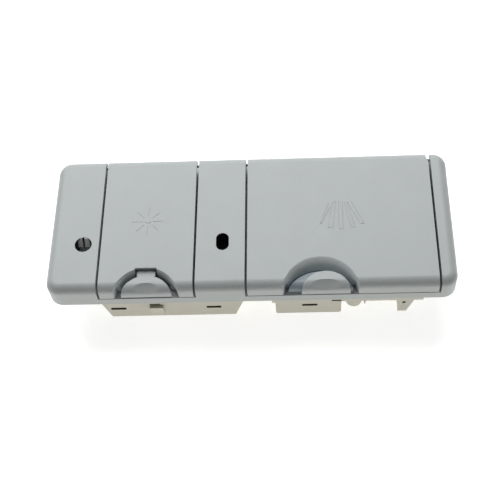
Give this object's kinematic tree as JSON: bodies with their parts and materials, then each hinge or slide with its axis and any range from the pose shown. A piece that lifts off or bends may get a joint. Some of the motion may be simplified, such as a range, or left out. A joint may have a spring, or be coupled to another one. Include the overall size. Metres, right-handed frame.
{
  "type": "dishwasher detergent dispenser",
  "caption": "Wide flat dishwasher door dispenser with a hinged detergent lid and rinse aid lid, thumb latches, tank and release actuator behind.",
  "frame": {"origin": "middle of the bottom of the part, on the table that its tank, actuator box and bracket stand on", "axes": "+X along the face towards the detergent lid, -Y the side with the thumb latches, +Z out of the face"},
  "size_m": [0.26, 0.1014, 0.0465],
  "materials": {
    "fascia_grey": "fine satin, light bluish grey",
    "housing_ivory": "semi-matte ivory plastic",
    "seal_rubber": "dark grey rubber",
    "pin_steel": "bright stainless steel",
    "dial_white": "white plastic",
    "lens_dark": "dark clear plastic",
    "float_red": "red plastic",
    "bobbin_black": "black filled plastic",
    "winding_copper": "lacquered winding wire",
    "blade_brass": "tinned brass"
  },
  "bodies": {
    "housing": {"front_housing": "fascia_grey", "outlet_nozzle": "fascia_grey", "rear_housing": "housing_ivory", "door_seal": "seal_rubber", "dial_seal": "seal_rubber", "dosing_seal": "seal_rubber", "detergent_hinge_pin": "pin_steel", "rinse_hinge_pin": "pin_steel", "rinse_latch_pin": "pin_steel", "lever_pin": "pin_steel", "coil_yoke": "pin_steel", "housing_screws": "pin_steel", "detergent_lid_spring": "pin_steel", "rinse_latch_spring": "pin_steel", "level_lens": "lens_dark", "coil_bobbin": "bobbin_black", "coil_winding": "winding_copper", "terminals": "blade_brass"},
    "detergent_lid": {"detergent_lid": "fascia_grey", "detergent_lid_seal": "seal_rubber", "lid_hook": "dial_white"},
    "rinse_lid": {"rinse_lid": "fascia_grey", "rinse_lid_seal": "seal_rubber"},
    "rinse_latch": {"rinse_latch": "fascia_grey"},
    "detergent_latch": {"detergent_latch": "fascia_grey", "latch_spring": "pin_steel"},
    "release_lever": {"release_lever": "dial_white"},
    "plunger": {"coil_plunger": "pin_steel", "dosing_rod": "dial_white", "plunger_spring": "pin_steel"},
    "level_float": {"level_float": "float_red"},
    "dose_dial": {"dose_dial": "dial_white"}
  },
  "joints": [
    {"name": "detergent_lid_hinge", "type": "hinge", "parent": "housing", "child": "detergent_lid", "pos_m": [0.0581, 0.0465, 0.0421], "axis": [-1, 0, 0], "range_deg": [0, 100]},
    {"name": "rinse_lid_hinge", "type": "hinge", "parent": "housing", "child": "rinse_lid", "pos_m": [-0.0661, 0.0465, 0.0421], "axis": [-1, 0, 0], "range_deg": [0, 100]},
    {"name": "rinse_latch_tilt", "type": "hinge", "parent": "housing", "child": "rinse_latch", "pos_m": [-0.0661, -0.0463, 0.0379], "axis": [1, 0, 0], "range_deg": [0, 12], "stiffness_Nm_per_rad": 0.1, "springref_deg": -5.73},
    {"name": "detergent_latch_slide", "type": "slide", "parent": "housing", "child": "detergent_latch", "axis": [-1, 0, 0], "range_m": [0, 0.007], "stiffness_N_per_m": 200, "springref_m": -0.004, "deforming": ["latch_spring"]},
    {"name": "release_lever_tilt", "type": "hinge", "parent": "housing", "child": "release_lever", "pos_m": [0.04775, -0.0352, 0.006], "axis": [0, -1, 0], "range_deg": [0, 18.6]},
    {"name": "plunger_slide", "type": "slide", "parent": "housing", "child": "plunger", "axis": [-1, 0, 0], "range_m": [0, 0.00325], "deforming": ["plunger_spring"]},
    {"name": "float_rise", "type": "slide", "parent": "housing", "child": "level_float", "axis": [0, 0, 1], "range_m": [0, 0.015]},
    {"name": "dial_turn", "type": "hinge", "parent": "housing", "child": "dose_dial", "pos_m": [-0.0491, -0.0147, 0.038], "axis": [0, 0, 1], "range_deg": [0, 150]}
  ],
  "couplings": [
    {"joint": "release_lever_tilt", "follows": "detergent_latch_slide", "rad_per_m": 46.3},
    {"joint": "plunger_slide", "follows": "detergent_latch_slide", "ratio": 0.463}
  ]
}
